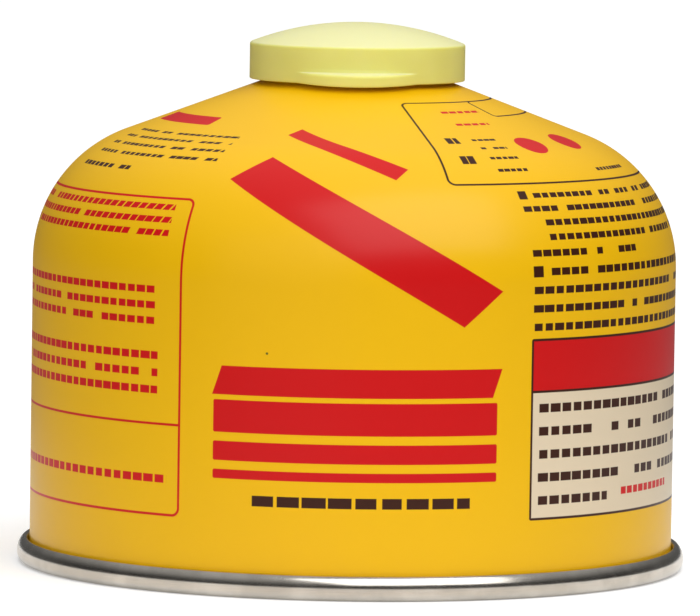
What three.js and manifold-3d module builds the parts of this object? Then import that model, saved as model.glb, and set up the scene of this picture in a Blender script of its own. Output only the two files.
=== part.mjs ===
// A screw-valve fuel canister: a drawn steel can with a seamed base, a crimped valve and a push-on cap.
// Millimetres, +Z up. The origin is on the axis, in the plane that the base seam stands on.
// The front of the canister, with the cap's thumb lip, faces -Y.

import * as THREE from 'three';
import { mergeVertices } from 'three/addons/utils/BufferGeometryUtils.js';
import Module from 'manifold-3d';

const wasm = await Module();
wasm.setup();

// Facets round the turned pieces
const ROUND_SEGMENTS = 32;
const SMALL_SEGMENTS = 20;

// Can body
const WALL_RADIUS = 53.0;
const WALL_TOP_Z = 49.8;
const KNUCKLE_RADIUS = 23.0;
const SHOULDER_SLOPE_DEG = 20.6;
const MOUTH_RADIUS = 12.7;
const CURL_RADIUS = 1.45;
const CURL_STAND = 1.05;
const BODY_SHEET = 0.4;

// Double seam at the foot
const BASE_SHEET = 0.4;
const SEAM_GAP = 0.27;
const SEAM_CROWN_RADIUS = 2.4;
const SEAM_CROWN_Z = 2.6;
const SEAM_FOLD_RADIUS = 0.35;
const SEAM_OUTER_CORNER = 1.2;
const SEAM_INNER_CORNER = 0.95;
const BODY_HOOK_LENGTH = 1.7;

// Base end inside the seam
const CHUCK_WALL_TOP_Z = 6.5;
const BASE_BLEND_RADIUS = 3.0;
const BASE_DOME_SLOPE_DEG = 15;

// Mounting cup of the valve
const CUP_SHEET = 0.35;
const CUP_GAP = 0.2;
const GASKET_THICKNESS = 0.4;
const GASKET_SEAT_GAP = 0.1;
const CUP_SKIRT_DROP = 0.6;
const CLINCH_PROUD = 0.5;
const WELL_DEPTH = 4.4;
const WELL_CORNER = 0.9;
const PEDESTAL_RADIUS = 8.0;
const PEDESTAL_CORNER = 0.8;
const PEDESTAL_RISE = 5.2;
const BOSS_RADIUS = 5.556;
const BOSS_LENGTH = 5.9;
const BOSS_MOUTH_RADIUS = 2.9;

// Valve inside the boss
const STEM_GASKET_THICKNESS = 1.0;
const VALVE_FIT = 0.2;
const HOUSING_WALL = 1.3;
const HOUSING_LENGTH = 15.5;
const HOUSING_FLOOR = 1.4;
const HOUSING_INLET_RADIUS = 1.2;
const STEM_NECK_RADIUS = 1.15;
const STEM_NECK_LENGTH = 1.55;
const STEM_HEAD_RADIUS = 2.55;
const STEM_HEAD_THICKNESS = 1.0;
const STEM_SPIGOT_RADIUS = 1.35;
const STEM_SPIGOT_LENGTH = 4.6;
const STEM_HOLE_GAP = 0.15;
const SPRING_WIRE_RADIUS = 0.25;
const SPRING_TURNS = 6.5;

// Cap
const CAP_EDGE_CLEARANCE = 1.1;
const CAP_HEADROOM = 0.49;
const CAP_DOME_RISE = 3.44;
const CAP_CORNER = 0.45;
const CAP_WALL = 1.1;
const CAP_SNAP_GAP = 0.15;
const CAP_SNAP_PROUD = 0.33;
const CAP_SNAP_HEIGHT = 0.9;
const CAP_SEAT_GAP = 0.3;
const CAP_RIB_COUNT = 8;
const CAP_RIB_THICKNESS = 0.9;
const CAP_RIB_LENGTH = 3.6;
const LIP_PROUD = 1.2;
const LIP_HEIGHT = 2.35;
const LIP_HALF_ANGLE_DEG = 33.5;
const LIP_SAG = 0.5;
const LIP_EDGE = 0.4;

// Colours as seen under plain light
const PAINT = 0xf0b41e;
const TINPLATE = 0xb9b2a8;
const CAP_PLASTIC = 0xe9e384;
const BLACK_RUBBER = 0x2a2927;
const WHITE_PLASTIC = 0xe6e3da;
const SPRING_STEEL = 0xa9a9ab;

const radians = THREE.MathUtils.degToRad;

// Helpers for turned pieces. A profile point is (radius, height).

function point(radius, height) {
  return new THREE.Vector2(radius, height);
}

function arc(centre, radius, fromDeg, toDeg, steps) {
  const points = [];
  for (let i = 0; i <= steps; i += 1) {
    const angle = radians(fromDeg + ((toDeg - fromDeg) * i) / steps);
    points.push(point(centre.x + radius * Math.cos(angle), centre.y + radius * Math.sin(angle)));
  }
  return points;
}

// A line moved sideways by a distance, to its left as it runs, with its corners mitred.
// A line that starts on the axis runs outward, and its first point stays on the axis.
function offset(line, distance) {
  return line.map((here, i) => {
    if (here.x === 0) {
      return point(0, here.y + distance);
    }
    const before = line[Math.max(i - 1, 0)];
    const after = line[Math.min(i + 1, line.length - 1)];
    const arriving = here.clone().sub(before);
    const leaving = after.clone().sub(here);
    if (arriving.lengthSq() === 0) {
      arriving.copy(leaving);
    }
    if (leaving.lengthSq() === 0) {
      leaving.copy(arriving);
    }
    arriving.normalize();
    leaving.normalize();
    const along = arriving.clone().add(leaving).normalize();
    const stretch = 1 / along.dot(arriving);
    return point(here.x - along.y * distance * stretch, here.y + along.x * distance * stretch);
  });
}

// The section of a bent sheet: both faces of its middle line, closed on itself.
function sheetSection(middle, thickness) {
  const left = offset(middle, thickness / 2);
  const right = offset(middle, -thickness / 2).reverse();
  const section = [...left, ...right];
  if (middle[0].x > 0) {
    section.push(section[0].clone());
  }
  return section;
}

function signedVolume(geometry) {
  const position = geometry.attributes.position;
  const index = geometry.index.array;
  const a = new THREE.Vector3();
  const b = new THREE.Vector3();
  const c = new THREE.Vector3();
  let sum = 0;
  for (let i = 0; i < index.length; i += 3) {
    a.fromBufferAttribute(position, index[i]);
    b.fromBufferAttribute(position, index[i + 1]);
    c.fromBufferAttribute(position, index[i + 2]);
    sum += a.dot(b.cross(c)) / 6;
  }
  return sum;
}

// One closed body with shared vertices and its faces pointing out.
function closed(geometry) {
  const bare = geometry.clone();
  bare.deleteAttribute('normal');
  bare.deleteAttribute('uv');
  const merged = mergeVertices(bare, 1e-5);
  const kept = [];
  const index = merged.index.array;
  for (let i = 0; i < index.length; i += 3) {
    const [p, q, r] = [index[i], index[i + 1], index[i + 2]];
    if (p !== q && q !== r && r !== p) {
      kept.push(p, q, r);
    }
  }
  merged.setIndex(kept);
  if (signedVolume(merged) < 0) {
    for (let i = 0; i < kept.length; i += 3) {
      [kept[i + 1], kept[i + 2]] = [kept[i + 2], kept[i + 1]];
    }
    merged.setIndex(kept);
  }
  return merged;
}

// Turns a profile round the Z axis.
function turned(profile, segments) {
  const geometry = new THREE.LatheGeometry(profile, segments);
  geometry.rotateX(Math.PI / 2);
  return closed(geometry);
}

function toSolid(geometry) {
  const merged = closed(geometry);
  return new wasm.Manifold(new wasm.Mesh({
    numProp: 3,
    vertProperties: new Float32Array(merged.attributes.position.array),
    triVerts: new Uint32Array(merged.index.array),
  }));
}

function toGeometry(solid) {
  const mesh = solid.getMesh();
  const geometry = new THREE.BufferGeometry();
  geometry.setAttribute('position', new THREE.BufferAttribute(new Float32Array(mesh.vertProperties), 3));
  geometry.setIndex(new THREE.BufferAttribute(new Uint32Array(mesh.triVerts), 1));
  return geometry;
}

// Shoulder, mouth and the heights that follow from them
const knuckleCentre = point(WALL_RADIUS - KNUCKLE_RADIUS, WALL_TOP_Z);
const knuckleArc = arc(knuckleCentre, KNUCKLE_RADIUS, 0, 90 - SHOULDER_SLOPE_DEG, 9);
const shoulderStart = knuckleArc[knuckleArc.length - 1];

function shoulderZ(radius) {
  return shoulderStart.y + (shoulderStart.x - radius) * Math.tan(radians(SHOULDER_SLOPE_DEG));
}

const curlOuterRadius = MOUTH_RADIUS + 2 * CURL_RADIUS;
const curlCentre = point(MOUTH_RADIUS + CURL_RADIUS, shoulderZ(curlOuterRadius) + CURL_STAND);

// Seam layers from the wall outward: end hook, body hook and the seam's outer layer. Radii of middle lines.
const wallMiddle = WALL_RADIUS - BODY_SHEET / 2;
const endHookRadius = WALL_RADIUS + SEAM_GAP + BASE_SHEET / 2;
const bodyHookRadius = endHookRadius + BASE_SHEET / 2 + SEAM_GAP + BODY_SHEET / 2;
const seamLayerRadius = bodyHookRadius + BODY_SHEET / 2 + SEAM_GAP + BASE_SHEET / 2;
const chuckRadius = WALL_RADIUS - BODY_SHEET - SEAM_GAP - BASE_SHEET / 2;
const bodyTurnRadius = (bodyHookRadius - wallMiddle) / 2;
const bodyTurn = point(wallMiddle + bodyTurnRadius, BASE_SHEET + SEAM_GAP + BODY_SHEET / 2 + bodyTurnRadius);

// Middle line of the base end from the axis to the top of its chuck wall
const blendCentre = point(chuckRadius - BASE_BLEND_RADIUS, CHUCK_WALL_TOP_Z);
const blendArc = arc(blendCentre, BASE_BLEND_RADIUS, 90 - BASE_DOME_SLOPE_DEG, 0, 3);
const domeSphere = blendArc[0].x / Math.sin(radians(BASE_DOME_SLOPE_DEG));
const domeCentre = point(0, blendArc[0].y - domeSphere * Math.cos(radians(BASE_DOME_SLOPE_DEG)));
const domeArc = arc(domeCentre, domeSphere, 90, 90 - BASE_DOME_SLOPE_DEG, 5);
domeArc[0].x = 0;
const basePanel = [...domeArc.slice(0, -1), ...blendArc];

// The seam's outer layer rises, leans in along its crown and folds down into the hook.
function seamLine() {
  const crownCentre = point(seamLayerRadius - SEAM_CROWN_RADIUS, SEAM_CROWN_Z);
  const reach = SEAM_CROWN_RADIUS - SEAM_FOLD_RADIUS;
  const foldDeg = THREE.MathUtils.radToDeg(
    Math.acos((endHookRadius + SEAM_FOLD_RADIUS - crownCentre.x) / reach),
  );
  const foldCentre = point(
    crownCentre.x + reach * Math.cos(radians(foldDeg)),
    crownCentre.y + reach * Math.sin(radians(foldDeg)),
  );
  const innerCorner = point(chuckRadius + SEAM_INNER_CORNER, BASE_SHEET / 2 + SEAM_INNER_CORNER);
  const outerCorner = point(seamLayerRadius - SEAM_OUTER_CORNER, BASE_SHEET / 2 + SEAM_OUTER_CORNER);
  return [
    ...arc(innerCorner, SEAM_INNER_CORNER, 180, 270, 3),
    ...arc(outerCorner, SEAM_OUTER_CORNER, -90, 0, 4),
    ...arc(crownCentre, SEAM_CROWN_RADIUS, 0, foldDeg, 3),
    ...arc(foldCentre, SEAM_FOLD_RADIUS, foldDeg, 180, 3).slice(1),
    point(endHookRadius, bodyTurn.y),
  ];
}

function baseEnd() {
  return turned(sheetSection([...basePanel, ...seamLine()], BASE_SHEET), ROUND_SEGMENTS);
}

// Mounting cup: heights and radii
const flangeCentre = point(curlCentre.x, curlCentre.y + GASKET_THICKNESS);
const flangeRadius = CURL_RADIUS + CUP_GAP + CUP_SHEET / 2;
const cupOuterRadius = flangeCentre.x + flangeRadius + CUP_SHEET / 2;
const cupTopZ = flangeCentre.y + flangeRadius + CUP_SHEET / 2;
const wellRadius = flangeCentre.x - flangeRadius;
const wellFloorZ = flangeCentre.y - WELL_DEPTH;
const bossMiddle = BOSS_RADIUS - CUP_SHEET / 2;
const pedestalTopZ = wellFloorZ + PEDESTAL_RISE;
const bossTopZ = pedestalTopZ + BOSS_LENGTH;

const flangeArc = arc(flangeCentre, flangeRadius, 0, 180, 8);

function wellLine() {
  const clinchZ = curlCentre.y - CURL_RADIUS - 2 * CLINCH_PROUD;
  return [
    point(wellRadius, curlCentre.y - CURL_RADIUS / 2),
    point(wellRadius + CLINCH_PROUD, clinchZ),
    point(wellRadius, wellFloorZ + WELL_CORNER),
    ...arc(point(wellRadius - WELL_CORNER, wellFloorZ + WELL_CORNER), WELL_CORNER, 0, -90, 3).slice(1),
  ];
}

const footCentre = point(PEDESTAL_RADIUS + PEDESTAL_CORNER, wellFloorZ + PEDESTAL_CORNER);
const headCentre = point(PEDESTAL_RADIUS - PEDESTAL_CORNER, pedestalTopZ - PEDESTAL_CORNER);
const pedestalFoot = arc(footCentre, PEDESTAL_CORNER, 270, 180, 3);
const pedestalHead = arc(headCentre, PEDESTAL_CORNER, 0, 90, 3);

function valveCup() {
  const lipCentre = point(bossMiddle - CUP_SHEET, bossTopZ - CUP_SHEET * 1.5);
  const middle = [
    point(flangeCentre.x + flangeRadius, curlCentre.y - CUP_SKIRT_DROP),
    ...flangeArc,
    ...wellLine(),
    ...pedestalFoot,
    ...pedestalHead,
    point(bossMiddle, pedestalTopZ),
    ...arc(lipCentre, CUP_SHEET, 0, 90, 3),
    point(BOSS_MOUTH_RADIUS, bossTopZ - CUP_SHEET / 2),
  ];
  return turned(sheetSection(middle, CUP_SHEET), ROUND_SEGMENTS);
}

// Rubber between the rolled curl and the cup's flange
function cupGasket() {
  const bend = CURL_RADIUS + GASKET_SEAT_GAP;
  const lower = arc(curlCentre, bend, 35, 145, 5);
  const upper = arc(flangeCentre, bend, 145, 35, 5);
  return turned([...lower, ...upper, lower[0].clone()], ROUND_SEGMENTS);
}

// Valve: heights from the boss's mouth downward
const stemGasketRadius = BOSS_RADIUS - CUP_SHEET - VALVE_FIT;
const stemGasketTopZ = bossTopZ - CUP_SHEET - VALVE_FIT;
const stemGasketZ = stemGasketTopZ - STEM_GASKET_THICKNESS;
const housingTopZ = stemGasketZ - VALVE_FIT / 2;
const housingFloorZ = housingTopZ - HOUSING_LENGTH;
const housingRadius = stemGasketRadius;
const housingBore = housingRadius - HOUSING_WALL;
const stemHeadZ = stemGasketZ - VALVE_FIT - STEM_HEAD_THICKNESS;
const springBottomZ = housingFloorZ + HOUSING_FLOOR + VALVE_FIT;
const springTopZ = stemHeadZ - VALVE_FIT;

function stemGasket() {
  const bore = STEM_NECK_RADIUS + STEM_HOLE_GAP;
  const first = point(bore, stemGasketZ);
  return turned([
    first,
    point(stemGasketRadius, stemGasketZ),
    point(stemGasketRadius, stemGasketTopZ),
    point(bore, stemGasketTopZ),
    first.clone(),
  ], SMALL_SEGMENTS);
}

function valveHousing() {
  const foot = HOUSING_FLOOR / 2;
  const first = point(HOUSING_INLET_RADIUS, housingFloorZ);
  return turned([
    first,
    point(housingRadius - foot, housingFloorZ),
    point(housingRadius, housingFloorZ + foot),
    point(housingRadius, housingTopZ),
    point(housingBore, housingTopZ),
    point(housingBore, housingFloorZ + HOUSING_FLOOR),
    point(HOUSING_INLET_RADIUS, housingFloorZ + HOUSING_FLOOR),
    first.clone(),
  ], SMALL_SEGMENTS);
}

function valveStem() {
  const headTopZ = stemHeadZ + STEM_HEAD_THICKNESS;
  const bevel = STEM_HEAD_THICKNESS / 3;
  return turned([
    point(0, stemHeadZ - STEM_SPIGOT_LENGTH),
    point(STEM_SPIGOT_RADIUS, stemHeadZ - STEM_SPIGOT_LENGTH),
    point(STEM_SPIGOT_RADIUS, stemHeadZ),
    point(STEM_HEAD_RADIUS, stemHeadZ),
    point(STEM_HEAD_RADIUS, headTopZ - bevel),
    point(STEM_HEAD_RADIUS - bevel, headTopZ),
    point(STEM_NECK_RADIUS, headTopZ),
    point(STEM_NECK_RADIUS, headTopZ + STEM_NECK_LENGTH),
    point(0, headTopZ + STEM_NECK_LENGTH),
  ], SMALL_SEGMENTS);
}

class SpringCurve extends THREE.Curve {
  getPoint(t, target = new THREE.Vector3()) {
    const angle = t * SPRING_TURNS * 2 * Math.PI;
    const radius = (STEM_SPIGOT_RADIUS + STEM_HEAD_RADIUS) / 2;
    const low = springBottomZ + SPRING_WIRE_RADIUS;
    const high = springTopZ - SPRING_WIRE_RADIUS;
    return target.set(radius * Math.cos(angle), radius * Math.sin(angle), low + (high - low) * t);
  }
}

function valveSpring() {
  const wire = new THREE.Shape();
  wire.absarc(0, 0, SPRING_WIRE_RADIUS, 0, 2 * Math.PI);
  return closed(new THREE.ExtrudeGeometry(wire, {
    extrudePath: new SpringCurve(),
    steps: Math.ceil(SPRING_TURNS * 12),
    curveSegments: 3,
  }));
}

// The sealed can: wall, shoulder, neck and mouth curl, filled down to the base end and round the valve.
function canBody() {
  const under = offset(basePanel, BASE_SHEET / 2 + SEAM_GAP);
  const inner = bodyTurnRadius - BODY_SHEET / 2;
  const outer = bodyTurnRadius + BODY_SHEET / 2;
  const hookTopZ = bodyTurn.y + BODY_HOOK_LENGTH;
  const cupOutside = CUP_SHEET / 2 + CUP_GAP;
  const wellOutside = offset([flangeArc.at(-1), ...wellLine()], cupOutside).slice(2);
  const pedestalInside = offset([...pedestalFoot, pedestalHead[0]], cupOutside).slice(0, -1);
  const pocketRadius = housingRadius + CUP_GAP;
  const profile = [
    ...under,
    ...arc(bodyTurn, outer, 180, 360, 6),
    point(bodyTurn.x + outer, hookTopZ),
    point(bodyTurn.x + inner, hookTopZ),
    ...arc(bodyTurn, inner, 360, 180, 5),
    ...knuckleArc,
    point(curlOuterRadius + CURL_RADIUS / 4, shoulderZ(curlOuterRadius + CURL_RADIUS / 4)),
    ...arc(curlCentre, CURL_RADIUS, -36, 180, 9),
    ...wellOutside,
    ...pedestalInside,
    point(pocketRadius, pedestalInside.at(-1).y),
    point(pocketRadius, housingFloorZ - CUP_GAP),
    point(0, housingFloorZ - CUP_GAP),
  ];
  return turned(profile, ROUND_SEGMENTS);
}

// Cap: outer skin with the thumb lip, less the hollow, with seat ribs under the dome.
const capInnerRadius = cupOuterRadius + CAP_SNAP_GAP + CAP_SNAP_PROUD;
const capRadius = capInnerRadius + CAP_WALL;
const capEdgeZ = shoulderZ(capRadius) + CAP_EDGE_CLEARANCE;
const capShoulderZ = bossTopZ + CAP_HEADROOM + CAP_WALL - CAP_DOME_RISE;

function capDome(radius, rise, centreZ, outerRadius, steps) {
  const sphere = (radius * radius + rise * rise) / (2 * rise);
  const points = [];
  for (let i = 0; i <= steps; i += 1) {
    const r = outerRadius * (1 - i / steps);
    points.push(point(r, centreZ + rise - sphere + Math.sqrt(sphere * sphere - r * r)));
  }
  return points;
}

function capSkin() {
  const corner = point(capRadius - CAP_CORNER, capShoulderZ - CAP_CORNER);
  return toSolid(turned([
    point(0, capEdgeZ),
    point(capRadius, capEdgeZ),
    ...arc(corner, CAP_CORNER, 0, 60, 2),
    ...capDome(capRadius, CAP_DOME_RISE, capShoulderZ, capRadius - CAP_CORNER, 6),
  ], ROUND_SEGMENTS));
}

// The lip is the front of a smaller disc, set forward and tipped so that it sags at its middle.
function capLip() {
  const half = radians(LIP_HALF_ANGLE_DEG);
  const front = capRadius + LIP_PROUD;
  const endY = capRadius * Math.cos(half);
  const endX = capRadius * Math.sin(half);
  const depth = front - endY;
  const discRadius = (endX * endX + depth * depth) / (2 * depth);
  const disc = turned([
    point(0, 0),
    point(discRadius - LIP_EDGE / 2, 0),
    point(discRadius, LIP_EDGE / 2),
    ...arc(point(discRadius - LIP_EDGE, LIP_HEIGHT - LIP_EDGE), LIP_EDGE, 0, 90, 3),
    point(0, LIP_HEIGHT),
  ], ROUND_SEGMENTS);
  const tip = Math.atan2(LIP_SAG, depth);
  disc.translate(0, discRadius - depth, 0);
  disc.rotateX(tip);
  disc.translate(0, -endY, capEdgeZ);
  return toSolid(disc);
}

function capHollow() {
  const snapRadius = cupOuterRadius + CAP_SNAP_GAP;
  const below = capEdgeZ - LIP_HEIGHT;
  const snapZ = capEdgeZ + CAP_SNAP_HEIGHT;
  return toSolid(turned([
    point(0, below),
    point(capInnerRadius, below),
    point(capInnerRadius, capEdgeZ + CAP_SNAP_HEIGHT / 4),
    point(snapRadius, capEdgeZ + CAP_SNAP_HEIGHT / 2),
    point(snapRadius, snapZ),
    point(capInnerRadius, snapZ + CAP_SNAP_HEIGHT / 2),
    ...capDome(capRadius, CAP_DOME_RISE, capShoulderZ - CAP_WALL, capInnerRadius, 5),
  ], ROUND_SEGMENTS));
}

function capRibs() {
  const seatZ = cupTopZ + CAP_SEAT_GAP;
  const height = capShoulderZ + CAP_DOME_RISE - seatZ;
  const outside = capRadius - CAP_WALL / 2;
  const ribs = [];
  for (let i = 0; i < CAP_RIB_COUNT; i += 1) {
    const rib = new THREE.BoxGeometry(CAP_RIB_LENGTH, CAP_RIB_THICKNESS, height);
    rib.translate(outside - CAP_RIB_LENGTH / 2, 0, seatZ + height / 2);
    rib.rotateZ(((i + 0.5) / CAP_RIB_COUNT) * 2 * Math.PI);
    ribs.push(toSolid(rib));
  }
  return ribs;
}

function cap() {
  const skin = capSkin();
  let shell = skin.add(capLip()).subtract(capHollow());
  for (const rib of capRibs()) {
    shell = shell.add(rib.intersect(skin));
  }
  return toGeometry(shell);
}

// Scene graph
const canister = new THREE.Group();

function addPiece(name, geometry, color, roughness, metalness) {
  const mesh = new THREE.Mesh(geometry, new THREE.MeshStandardMaterial({ color, roughness, metalness }));
  mesh.name = name;
  canister.add(mesh);
}

addPiece('can_body', canBody(), PAINT, 0.3, 0.0);
addPiece('base_end', baseEnd(), TINPLATE, 0.3, 1.0);
addPiece('valve_cup', valveCup(), TINPLATE, 0.3, 1.0);
addPiece('cup_gasket', cupGasket(), BLACK_RUBBER, 0.8, 0.0);
addPiece('valve_housing', valveHousing(), WHITE_PLASTIC, 0.5, 0.0);
addPiece('valve_spring', valveSpring(), SPRING_STEEL, 0.3, 1.0);
addPiece('valve_stem', valveStem(), WHITE_PLASTIC, 0.5, 0.0);
addPiece('stem_gasket', stemGasket(), BLACK_RUBBER, 0.8, 0.0);
addPiece('cap', cap(), CAP_PLASTIC, 0.45, 0.0);

export default canister;
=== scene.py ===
# %% [markdown]
# A fuel canister, dressed round its packed model
#
# The canister is a squat steel can: yellow enamel with printed fields, a bare tinplate seam at the foot,
# a threaded valve in the neck and a pale yellow plastic cap. The packed model gives every place and size,
# and this script gives each piece its smooth surface and its finish.

# %% Load the frame
import math

import bmesh
import bpy
from mathutils import Matrix, Vector


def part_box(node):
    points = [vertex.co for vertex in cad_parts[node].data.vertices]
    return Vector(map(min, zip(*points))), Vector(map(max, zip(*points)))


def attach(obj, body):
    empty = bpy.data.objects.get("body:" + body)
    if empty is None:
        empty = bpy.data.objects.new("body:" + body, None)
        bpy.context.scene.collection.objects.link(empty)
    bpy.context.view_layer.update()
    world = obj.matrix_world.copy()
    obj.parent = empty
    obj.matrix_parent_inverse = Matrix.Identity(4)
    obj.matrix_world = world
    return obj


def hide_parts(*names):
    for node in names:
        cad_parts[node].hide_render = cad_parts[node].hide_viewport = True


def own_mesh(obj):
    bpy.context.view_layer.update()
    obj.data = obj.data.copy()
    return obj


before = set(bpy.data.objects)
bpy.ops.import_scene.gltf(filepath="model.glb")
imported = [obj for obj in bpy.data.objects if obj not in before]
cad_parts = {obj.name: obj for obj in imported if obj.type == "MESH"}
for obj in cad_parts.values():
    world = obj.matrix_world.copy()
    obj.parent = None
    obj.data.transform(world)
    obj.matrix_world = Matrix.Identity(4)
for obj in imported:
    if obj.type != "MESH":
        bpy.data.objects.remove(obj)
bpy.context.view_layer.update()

MM = 0.001

# %% [markdown]
# The camera
#
# A long lens a little above the can, tipped down by under five degrees, was found from the outlines of
# the can in the photograph. The whole picture is rolled by less than a degree, so the camera is too.

# %% Camera
CAMERA_DISTANCE = 1259.6 * MM
CAMERA_HEIGHT = 143.9 * MM
CAMERA_PITCH_DEG = 4.611
CAMERA_YAW_DEG = -0.028
CAMERA_ROLL_DEG = 0.864
SENSOR_WIDTH = 36.0
FOCAL_LENGTH_IN_WIDTHS = 10.9425


def add_object(name, data):
    made = bpy.data.objects.new(name, data)
    bpy.context.scene.collection.objects.link(made)
    return made


def make_camera():
    data = bpy.data.cameras.new("camera")
    data.sensor_fit = "HORIZONTAL"
    data.sensor_width = SENSOR_WIDTH
    data.lens = FOCAL_LENGTH_IN_WIDTHS * SENSOR_WIDTH
    data.clip_end = 50.0
    camera = add_object("camera", data)
    level = Matrix.Rotation(math.radians(-CAMERA_YAW_DEG), 4, "Z")
    tipped = level @ Matrix.Rotation(math.radians(90.0 - CAMERA_PITCH_DEG), 4, "X")
    rolled = tipped @ Matrix.Rotation(math.radians(CAMERA_ROLL_DEG), 4, "Z")
    camera.matrix_world = Matrix.Translation((0.0, -CAMERA_DISTANCE, CAMERA_HEIGHT)) @ rolled
    bpy.context.scene.camera = camera
    return camera


camera = make_camera()
print("camera lens in mm:", round(camera.data.lens, 1))

# %% [markdown]
# A helper for node trees
#
# The materials, the sky and the groups that materials share are node trees. This helper makes a node,
# joins it to what it reads, and keeps the sums short.

# %% Node trees


class Tree:
    """Makes nodes in one tree. An input is either a socket to join or a value to set."""

    def __init__(self, tree):
        self.tree = tree

    def node(self, kind, inputs=None, **settings):
        made = self.tree.nodes.new(kind)
        for name, value in settings.items():
            setattr(made, name, value)
        for name, value in (inputs or {}).items():
            self.feed(made.inputs[name], value)
        return made

    def feed(self, socket, value):
        if isinstance(value, bpy.types.NodeSocket):
            self.tree.links.new(value, socket)
        else:
            socket.default_value = value

    def math(self, operation, *values):
        made = self.node("ShaderNodeMath", operation=operation)
        for socket, value in zip(made.inputs, values):
            self.feed(socket, value)
        return made.outputs[0]

    def plus(self, first, second):
        return self.math("ADD", first, second)

    def minus(self, first, second):
        return self.math("SUBTRACT", first, second)

    def times(self, first, second):
        return self.math("MULTIPLY", first, second)

    def apart(self, first, second):
        """How far two values lie from each other."""
        return self.math("ABSOLUTE", self.minus(first, second))

    def length(self, across, along):
        return self.math("SQRT", self.math("MULTIPLY_ADD", across, across, self.times(along, along)))

    def ramp(self, value, low, high, to_low=0.0, to_high=1.0, smooth=True):
        made = self.node("ShaderNodeMapRange", interpolation_type="SMOOTHSTEP" if smooth else "LINEAR")
        for socket, given in zip(made.inputs, (value, low, high, to_low, to_high)):
            self.feed(socket, given)
        return made.outputs[0]

    def mix(self, share, first, second):
        """A colour between two. The node's sockets 6 and 7 are its colours, and output 2 the mixed one."""
        return self.node("ShaderNodeMix", {0: share, 6: first, 7: second}, data_type="RGBA").outputs[2]

    def noise(self, vector, scale, detail=2.0, roughness=0.5):
        inputs = {"Vector": vector, "Scale": scale, "Detail": detail, "Roughness": roughness}
        return self.node("ShaderNodeTexNoise", inputs).outputs[0]

    def bump(self, height, distance, strength, normal=None):
        made = self.node("ShaderNodeBump", {"Height": height, "Distance": distance, "Strength": strength})
        if normal is not None:
            self.feed(made.inputs["Normal"], normal)
        return made.outputs[0]

    def place(self):
        """The place in the piece's own frame, in metres."""
        return self.node("ShaderNodeTexCoord").outputs["Object"]


def material(name):
    """A new material and the helper for its empty tree."""
    finish = bpy.data.materials.new(name)
    finish.use_nodes = True
    finish.node_tree.nodes.clear()
    return finish, Tree(finish.node_tree)


print("node tree helper:", [name for name in vars(Tree) if not name.startswith("_")])

# %% [markdown]
# The studio
#
# The can stands on white paper that fades into a grey studio floor. One large soft box, high at the front
# and to the right, makes the broad highlight on the shoulder. A weaker one, which nothing mirrors, fills
# from the left, and a third, overhead and a little behind, lights the shoulder and the cap. The sky is
# bright overhead and a little brighter behind, and dim near the horizon, which gives the bare metal its
# dark band. What the camera sees of the paper and the floor is lifted to white, and glossy surfaces mirror
# a little of that lift near the can. The shadow at the foot of the can stays.

# %% Floor and world
FLOOR_HALF = 6.0
PAPER_WHITE = (0.82, 0.82, 0.82, 1.0)
STUDIO_GREY = (0.20, 0.20, 0.20, 1.0)
WHITE = (1.0, 1.0, 1.0, 1.0)
# metres from the can's axis
PAPER_ENDS_FROM = 0.07
PAPER_ENDS_TO = 0.34
LIFT_NEAR = 0.30
LIFT_FAR = 0.95
LIFT_MIRRORED = 0.20
SKY_HORIZON = 0.04
SKY_ZENITH = 0.50
SKY_BEHIND = 0.06
# where the sky brightens, as the upward and the backward part of the direction
SKY_RISES = (0.12, 0.95)
SKY_TURNS_BACK = (0.2, 0.8)


def floor_material():
    finish, tree = material("studio_floor")
    far = tree.node("ShaderNodeVectorMath", {0: tree.place()}, operation="LENGTH").outputs["Value"]
    away = tree.ramp(far, PAPER_ENDS_FROM, PAPER_ENDS_TO)
    color = tree.mix(away, PAPER_WHITE, STUDIO_GREY)
    paper = tree.node("ShaderNodeBsdfDiffuse", {"Color": color}).outputs[0]
    lift = tree.ramp(away, 0.0, 1.0, LIFT_NEAR, LIFT_FAR, smooth=False)
    mirrored = tree.ramp(away, 0.0, 1.0, LIFT_MIRRORED, 0.0, smooth=False)
    rays = tree.node("ShaderNodeLightPath").outputs
    lifted = tree.times(rays["Is Camera Ray"], lift)
    seen = tree.math("MULTIPLY_ADD", rays["Is Glossy Ray"], mirrored, lifted)
    glow = tree.node("ShaderNodeEmission", {"Color": WHITE, "Strength": seen}).outputs[0]
    both = tree.node("ShaderNodeAddShader", {0: paper, 1: glow}).outputs[0]
    tree.node("ShaderNodeOutputMaterial", {"Surface": both})
    return finish


def make_floor():
    shape = bmesh.new()
    bmesh.ops.create_grid(shape, x_segments=1, y_segments=1, size=FLOOR_HALF)
    mesh = bpy.data.meshes.new("floor")
    shape.to_mesh(mesh)
    shape.free()
    mesh.materials.append(floor_material())
    floor = add_object("floor", mesh)


def make_world():
    world = bpy.data.worlds.new("studio")
    world.use_nodes = True
    world.node_tree.nodes.clear()
    tree = Tree(world.node_tree)
    way = tree.node("ShaderNodeTexCoord").outputs["Generated"]
    parts = tree.node("ShaderNodeSeparateXYZ", {0: way}).outputs
    above = tree.ramp(parts[2], *SKY_RISES, SKY_HORIZON, SKY_ZENITH)
    behind = tree.ramp(parts[1], *SKY_TURNS_BACK, 0.0, SKY_BEHIND)
    rays = tree.node("ShaderNodeLightPath").outputs["Is Camera Ray"]
    seen = tree.math("MAXIMUM", tree.plus(above, behind), rays)
    level = tree.math("MINIMUM", seen, 1.0)
    light = tree.node("ShaderNodeBackground", {"Color": WHITE, "Strength": level}).outputs[0]
    tree.node("ShaderNodeOutputWorld", {"Surface": light})
    bpy.context.scene.world = world


make_floor()
make_world()
bpy.context.scene.view_settings.view_transform = "Standard"
print("studio floor in metres:", 2 * FLOOR_HALF)

# %% Soft boxes
CAN_MIDDLE = Vector((0.0, 0.0, 0.045))
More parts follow.
